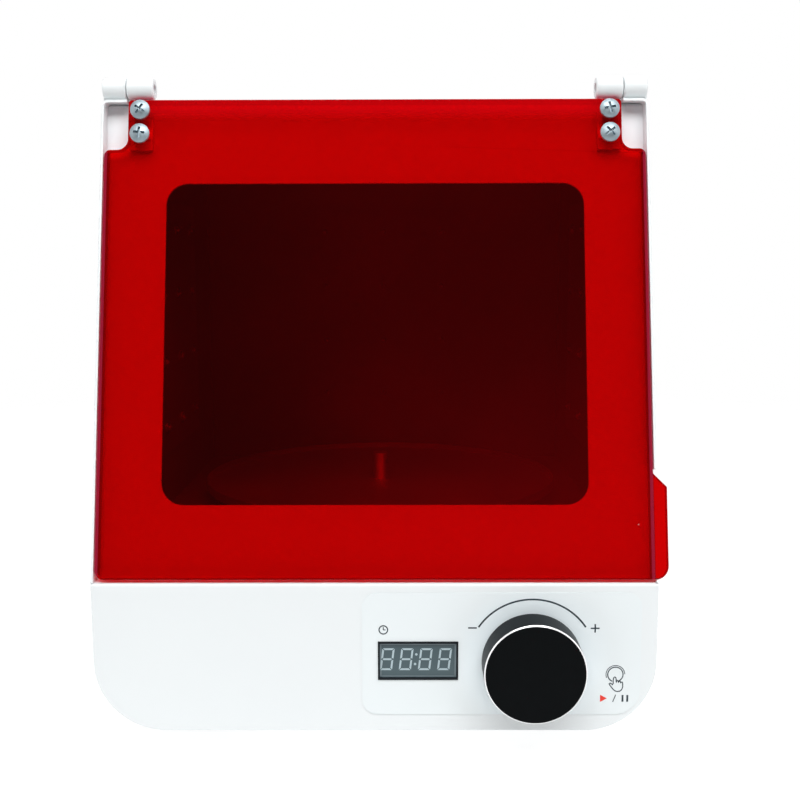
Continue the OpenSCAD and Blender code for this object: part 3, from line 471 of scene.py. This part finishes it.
# CAD nodes get their material by slot, and the sheets and larger parts a broken edge

BROKEN_EDGES = {
    "outer_shell": 0.25, "top_cover": 0.1, "front_panel": 0.3, "front_frame": 0.1, "door_panel": 0.25,
    "hinge_leaf_left": 0.06, "hinge_leaf_right": 0.06, "hinge_fixed_left": 0.06, "hinge_fixed_right": 0.06,
    "power_inlet": 0.25, "switch_housing": 0.25, "power_rocker": 0.3, "fan_frame": 0.25,
    "turntable_plate": 0.2,
}


def break_edges(piece, width):
    """Rounds a piece's sharp edges and keeps its flat faces flat in shading."""
    weld = piece.modifiers.new("weld", "WELD")
    weld.merge_threshold = 0.002 * MM
    flat = piece.modifiers.new("flat_faces", "DECIMATE")
    flat.decimate_type = "DISSOLVE"
    flat.angle_limit = math.radians(0.5)
    bevel = piece.modifiers.new("broken_edge", "BEVEL")
    bevel.width = width * MM
    bevel.segments = 2
    bevel.limit_method = "ANGLE"
    bevel.angle_limit = math.radians(35)
    bevel.use_clamp_overlap = False
    weighted = piece.modifiers.new("flat_shading", "WEIGHTED_NORMAL")
    weighted.weight = 100


OWN_LOOK = {
    "turntable_plate": turned_plate(),
    "front_frame": powder_coat("frame_coat", (0.80, 0.84, 0.855)),
    # Painted shade: the front panel gets a darker copy of the white coat.
    "front_panel": powder_coat("panel_coat_painted_shade", (0.765, 0.80, 0.81)),
    "hinge_pins": metal("blackened_steel", (0.05, 0.055, 0.07), 0.35),
    "display_bezel": plastic("display_bezel", (0.006, 0.009, 0.012), 0.4, specular=0.15),
}

for subpart in frame["record"]["subparts"]:
    name = subpart["node"]
    node = frame["nodes"][name]
    node.data.materials.clear()
    node.data.materials.append(OWN_LOOK.get(name, LOOK[subpart["material_slot"]]))
    if name in BROKEN_EDGES:
        break_edges(node, BROKEN_EDGES[name])


# Pieces built from flat outlines

def new_piece(name, mesh, material, body):
    """Puts a mesh into the scene as a piece that moves with a body."""
    piece = bpy.data.objects.new(name, mesh)
    bpy.context.scene.collection.objects.link(piece)
    mesh.materials.append(material)
    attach(piece, body)
    return piece


def polar(centre, radius, degrees):
    """A point on a circle, with the angle measured from straight up and growing to the right."""
    turn = math.radians(degrees)
    return (centre[0] + radius * math.sin(turn), centre[1] + radius * math.cos(turn))


def arc(centre, radius, start, end, steps):
    """Points along a circle from one angle to another."""
    return [polar(centre, radius, start + (end - start) * i / steps) for i in range(steps + 1)]


def softened(points):
    """A closed outline with its corners cut."""
    cut = []
    for a, b in zip(points, points[1:] + points[:1]):
        cut.append((0.75 * a[0] + 0.25 * b[0], 0.75 * a[1] + 0.25 * b[1]))
        cut.append((0.25 * a[0] + 0.75 * b[0], 0.25 * a[1] + 0.75 * b[1]))
    return cut


def side_steps(points, width, closed):
    """The offset from each point of a line to its left edge, mitred at the bends."""
    count = len(points)
    steps = []
    for i in range(count):
        before = points[i - 1] if closed or i > 0 else points[i]
        after = points[(i + 1) % count] if closed or i < count - 1 else points[i]
        along = [(Vector(points[i]) - Vector(before)), (Vector(after) - Vector(points[i]))]
        ways = [w.normalized() for w in along if w.length > 1e-9]
        sides = [Vector((-w.y, w.x)) for w in ways]
        middle = sum(sides, Vector((0, 0))).normalized()
        reach = width / 2 / max(0.4, middle.dot(sides[0]))
        steps.append(middle * reach)
    return steps


def add_stroke(bm, points, width, closed):
    """A line of ink of even width, as a strip of faces in the plane of the outline."""
    steps = side_steps(points, width, closed)
    rows = []
    for point, step in zip(points, steps):
        left = bm.verts.new((point[0] + step.x, 0, point[1] + step.y))
        right = bm.verts.new((point[0] - step.x, 0, point[1] - step.y))
        rows.append((left, right))
    pairs = list(zip(rows, rows[1:]))
    if closed:
        pairs.append((rows[-1], rows[0]))
    for (a, b), (c, d) in pairs:
        bm.faces.new((a, b, d, c))


def add_shape(bm, points):
    """A filled outline."""
    bm.faces.new([bm.verts.new((x, 0, z)) for x, z in points])


def flat_piece(name, bm, material, body, face_y, thick):
    """Gives flat faces a thickness towards the front, with their back on the plane y = face_y."""
    bmesh.ops.recalc_face_normals(bm, faces=bm.faces)
    for face in bm.faces:
        if face.normal.y > 0:
            face.normal_flip()
    for vert in bm.verts:
        vert.co = at(vert.co.x, face_y, vert.co.z)
    mesh = bpy.data.meshes.new(name)
    bm.to_mesh(mesh)
    bm.free()
    piece = new_piece(name, mesh, material, body)
    solid = piece.modifiers.new("thickness", "SOLIDIFY")
    solid.thickness = thick * MM
    solid.offset = 1


def printed(name, material, strokes=(), shapes=()):
    """Ink on the control label: strokes are (points, width, closed) and shapes are filled outlines."""
    bm = bmesh.new()
    for points, width, closed in strokes:
        add_stroke(bm, points, width, closed)
    for points in shapes:
        add_shape(bm, points)
    flat_piece(name, bm, material, "casing", LABEL_FACE, INK_THICK)


# Marks on the control label

SCALE_R = 25.5
SCALE_REACH = 56.5
MINUS_AT = (38.9, 43.1)
PLUS_AT = (87.6, 42.9)
SIGN_HALF = 1.75
CLOCK_AT = (3.5, 42.3)
CLOCK_R = 1.7
STATE_Z = 13.7
STATE_HALF = 1.5
START_X = (90.2, 92.9)
SLASH_X = (95.3, 96.4)
PAUSE_X = (99.2, 101.1)


def level_line(centre, half, width=0.56):
    """A level stroke about its centre."""
    return ([(centre[0] - half, centre[1]), (centre[0] + half, centre[1])], width, False)


def upright_line(x, low, high, width=0.56):
    """An upright stroke between two heights."""
    return ([(x, low), (x, high)], width, False)


def print_knob_scale():
    """The arc over the knob, a minus on its left and a plus on its right."""
    scale = (arc(KNOB_AT, SCALE_R, -SCALE_REACH, SCALE_REACH, 48), 0.68, False)
    minus = level_line(MINUS_AT, SIGN_HALF - 0.05)
    x, z = PLUS_AT
    level = level_line(PLUS_AT, SIGN_HALF)
    upper = upright_line(x, z + 0.2, z + SIGN_HALF)
    lower = upright_line(x, z - SIGN_HALF, z - 0.2)
    printed("knob_scale", INK_DARK, [scale, minus, level, upper, lower])


def print_clock():
    """A small clock face where the time's label stands."""
    x, z = CLOCK_AT
    rim = (arc(CLOCK_AT, CLOCK_R, 0, 352.5, 47), 0.46, True)
    minute = upright_line(x, z, z + 1.15, 0.36)
    hour = ([(x - 0.1, z), (x + 0.9, z)], 0.36, False)
    printed("time_mark", INK_DARK, [rim, minute, hour])


def print_touch_mark():
    """A ring with an outer arc and a pointing hand."""
    ring = (arc(TOUCH_AT, 3.05, -158, 158, 60), 0.44, False)
    outer = (arc(TOUCH_AT, 3.75, -112, 88, 44), 0.3, False)
    hand = [
        (-0.8, -4.5), (-0.75, -1.5), (-0.2, -0.95), (0.35, -1.5), (0.4, -3.4), (0.6, -2.6), (1.15, -2.5),
        (1.3, -3.4), (1.5, -2.85), (2.05, -2.8), (2.2, -3.6), (2.4, -3.15), (2.95, -3.2), (3.05, -4.4),
        (3.0, -5.7), (2.2, -6.95), (0.5, -7.2), (-0.8, -6.2), (-2.55, -3.9), (-1.9, -3.5),
    ]
    placed = [(TOUCH_AT[0] + x, TOUCH_AT[1] + z) for x, z in hand]
    printed("touch_mark", INK_DARK, [ring, outer, (softened(placed), 0.4, True)])


def print_start_and_pause():
    """A red start triangle, a slash and two pause bars under the hand."""
    low = STATE_Z - STATE_HALF
    high = STATE_Z + STATE_HALF
    start = [(START_X[0], low), (START_X[1], STATE_Z), (START_X[0], high)]
    printed("start_mark", INK_RED, shapes=[start])
    slash = ([(SLASH_X[0], low), (SLASH_X[1], high)], 0.36, False)
    bars = [upright_line(x, low + 0.1, high - 0.1, 0.75) for x in PAUSE_X]
    printed("pause_mark", INK_DARK, [slash] + bars)


print_knob_scale()
print_clock()
print_touch_mark()
print_start_and_pause()


# Display digits: seven slanted segments each, unlit

DIGIT_H = 9.1
DIGIT_W = 4.9
SEGMENT_T = 0.74
SEGMENT_GAP = 0.24
SEGMENT_THICK = 0.05
SLANT = math.tan(math.radians(7))
DIGITS_X = (5.0, 12.55, 20.2, 27.9)
DIGITS_Z = 29.9
COLON_Z = (-2.0, 2.0)
COLON_R = 0.5


def slanted(points, x):
    """An outline about a digit's middle, leant to the right and moved to its place."""
    return [(x + px + pz * SLANT, DIGITS_Z + pz) for px, pz in points]


def level_segment(z, inset):
    """A level bar: inset is 1 at the top, -1 at the bottom and 0 for the pointed middle bar."""
    half = DIGIT_W / 2 - SEGMENT_GAP
    short = half - SEGMENT_T
    if inset == 0:
        point = half - SEGMENT_T / 2
        low = z - SEGMENT_T / 2
        high = z + SEGMENT_T / 2
        return [(-short, low), (-point, z), (-short, high), (short, high), (point, z), (short, low)]
    inner = z - inset * SEGMENT_T
    return [(-half, z), (-short, inner), (short, inner), (half, z)]


def upright_segment(side, low, high):
    """An upright bar on the digit's left or right side, between two heights."""
    out = side * DIGIT_W / 2
    inner = out - side * SEGMENT_T
    low_cut = SEGMENT_T * (1.0 if low < 0 else 0.5)
    high_cut = SEGMENT_T * (1.0 if high > 0 else 0.5)
    low += SEGMENT_GAP
    high -= SEGMENT_GAP
    return [(out, low), (out, high), (inner, high - high_cut), (inner, low + low_cut)]


def build_digits():
    """Four digits and the colon between the second and the third."""
    bm = bmesh.new()
    top = DIGIT_H / 2
    for x in DIGITS_X:
        for bar in (level_segment(top, 1), level_segment(0, 0), level_segment(-top, -1)):
            add_shape(bm, slanted(bar, x))
        for side in (-1, 1):
            add_shape(bm, slanted(upright_segment(side, 0, top), x))
            add_shape(bm, slanted(upright_segment(side, -top, 0), x))
    middle = (DIGITS_X[1] + DIGITS_X[2]) / 2
    for z in COLON_Z:
        spot = (middle + z * SLANT, DIGITS_Z + z)
        add_shape(bm, arc(spot, COLON_R, 0, 345, 23))
    flat_piece("display_digits", bm, SEGMENTS, "casing", DISPLAY_FACE, SEGMENT_THICK)


build_digits()


# Marks on the mains switch

ROCKER_FACE = (4.2, 3.7)
ROCKER_SLOPE = math.atan2(1.0, 7.4)
MARK_HALF = 1.4
MARK_R = 1.25
MARK_W = 0.5
MARK_THICK = 0.05


def on_rocker(side, x, along):
    """A point on the upper (1) or lower (-1) half of the rocker's face, which the switch's tilt turns."""
    lean = side * ROCKER_SLOPE
    tilt = math.radians(ROCKER_TILT)
    y = ROCKER_FACE[0] + along * math.sin(lean)
    z = side * ROCKER_FACE[1] + along * math.cos(lean)
    back = y * math.cos(tilt) - z * math.sin(tilt)
    up = y * math.sin(tilt) + z * math.cos(tilt)
    return at(SWITCH_AT[0] + x, SWITCH_AT[1] + back, SWITCH_AT[2] + up)


def build_switch_marks():
    """A bar and a ring, the usual marks for on and off."""
    bm = bmesh.new()
    bar = [(0, -MARK_HALF), (0, MARK_HALF)]
    ring = arc((0, 0), MARK_R, 0, 350, 35)
    marks = ((1, bar, False), (-1, ring, True))
    for side, points, closed in marks:
        first = len(bm.verts)
        add_stroke(bm, points, MARK_W, closed)
        bm.verts.ensure_lookup_table()
        for vert in bm.verts[first:]:
            vert.co = on_rocker(side, vert.co.x, vert.co.z)
    for face in bm.faces:
        face.normal_update()
        if face.normal.y < 0:
            face.normal_flip()
    mesh = bpy.data.meshes.new("switch_marks")
    bm.to_mesh(mesh)
    bm.free()
    piece = new_piece("switch_marks", mesh, MARKS, "rocker")
    solid = piece.modifiers.new("thickness", "SOLIDIFY")
    solid.thickness = MARK_THICK * MM
    solid.offset = 1


build_switch_marks()


# Stage: pale floor, soft studio light and the camera

FLOOR_R = 1.6
FLOOR_STEPS = 96
CAMERA_AT = (12.5, -409.8, 192.1)
CAMERA_PITCH = math.radians(8.0)
CAMERA_YAW = math.radians(-0.30)
CAMERA_ROLL = math.radians(-0.14)
CAMERA_LENS = 48.285


def floor_paper():
    """Pale paper, softly lit from beneath, that thins out into the white of the room."""
    g = Graph("floor")
    shade = g.mix(g.noise(400, 2), rgb(0.33, 0.33, 0.33), rgb(0.36, 0.36, 0.36))
    grain = g.bump(g.noise(3, 2), 0.02, 0.2)
    paper = g.principled(Base_Color=shade, Roughness=0.9, Specular_IOR_Level=0.1, Normal=grain,
                         Emission_Color=rgb(1, 1, 1), Emission_Strength=0.75)
    away = g.vector("LENGTH", g.place(), (0.0, 0.0, 0.0))
    fade = g.range(away, 0.35, 1.0, 0.0, 1.0)
    nothing = g.add("BsdfTransparent").outputs[0]
    return g.finish(g.blend(fade, paper, nothing))


def build_floor():
    """A round floor under the feet."""
    turns = [math.tau * i / FLOOR_STEPS for i in range(FLOOR_STEPS)]
    rim = [(FLOOR_R * math.sin(turn), FLOOR_R * math.cos(turn), 0) for turn in turns]
    mesh = bpy.data.meshes.new("floor")
    mesh.from_pydata(rim, [], [tuple(reversed(range(FLOOR_STEPS)))])
    mesh.materials.append(floor_paper())
    floor = bpy.data.objects.new("floor", mesh)
    bpy.context.scene.collection.objects.link(floor)


def soft_light(name, place, aim, size, power):
    """A rectangular light of size metres that shines from its place to its aim."""
    lamp = bpy.data.lights.new(name, "AREA")
    lamp.shape = "RECTANGLE"
    lamp.size = size[0]
    lamp.size_y = size[1]
    lamp.energy = power
    light = bpy.data.objects.new(name, lamp)
    light.location = place
    light.rotation_mode = "QUATERNION"
    light.rotation_quaternion = (Vector(aim) - Vector(place)).to_track_quat("-Z", "Y")
    bpy.context.scene.collection.objects.link(light)


def build_lights():
    """A broad key light over the front and a weak one at each side."""
    soft_light("key_front", (0.1, -0.85, 1.3), (0, -0.05, 0.15), (1.5, 0.7), 22)
    soft_light("side_left", (-1.4, -0.75, 0.6), (0, 0, 0.12), (0.9, 1.2), 2.6)
    soft_light("side_right", (1.4, -0.75, 0.6), (0, 0, 0.12), (0.9, 1.2), 3.2)


def build_world():
    """A white room with a dark card behind the camera, so that gloss stays clear from the front."""
    world = bpy.data.worlds.new("studio")
    world.use_nodes = True
    bpy.context.scene.world = world
    nodes = world.node_tree.nodes
    links = world.node_tree.links
    nodes.clear()
    way = nodes.new("ShaderNodeTexCoord")
    split = nodes.new("ShaderNodeSeparateXYZ")
    ramp = nodes.new("ShaderNodeMapRange")
    seen = nodes.new("ShaderNodeLightPath")
    pick = nodes.new("ShaderNodeMath")
    light = nodes.new("ShaderNodeBackground")
    out = nodes.new("ShaderNodeOutputWorld")
    ramp.inputs["From Min"].default_value = -0.75
    ramp.inputs["From Max"].default_value = -0.1
    ramp.inputs["To Min"].default_value = 0.02
    ramp.inputs["To Max"].default_value = 0.72
    pick.operation = "MAXIMUM"
    light.inputs["Color"].default_value = (1, 1, 1, 1)
    links.new(way.outputs["Generated"], split.inputs["Vector"])
    links.new(split.outputs["Y"], ramp.inputs["Value"])
    links.new(ramp.outputs["Result"], pick.inputs[0])
    links.new(seen.outputs["Is Camera Ray"], pick.inputs[1])
    links.new(pick.outputs["Value"], light.inputs["Strength"])
    links.new(light.outputs["Background"], out.inputs["Surface"])


def build_camera():
    """The photograph's view: 8 degrees down, a hair to the left and a hair of roll."""
    flat = math.cos(CAMERA_PITCH)
    ahead = Vector((math.sin(CAMERA_YAW) * flat, math.cos(CAMERA_YAW) * flat, -math.sin(CAMERA_PITCH)))
    level = Vector((math.cos(CAMERA_YAW), -math.sin(CAMERA_YAW), 0))
    up = level.cross(ahead)
    right = level * math.cos(CAMERA_ROLL) + up * math.sin(CAMERA_ROLL)
    top = up * math.cos(CAMERA_ROLL) - level * math.sin(CAMERA_ROLL)
    lens = bpy.data.cameras.new("camera")
    lens.sensor_width = 36.0
    lens.lens = CAMERA_LENS
    camera = bpy.data.objects.new("camera", lens)
    turn = Matrix((right, top, -ahead)).transposed().to_4x4()
    camera.matrix_world = Matrix.Translation(at(*CAMERA_AT)) @ turn
    bpy.context.scene.collection.objects.link(camera)
    bpy.context.scene.camera = camera


build_floor()
build_lights()
build_world()
build_camera()
bpy.context.scene.view_settings.view_transform = "Standard"
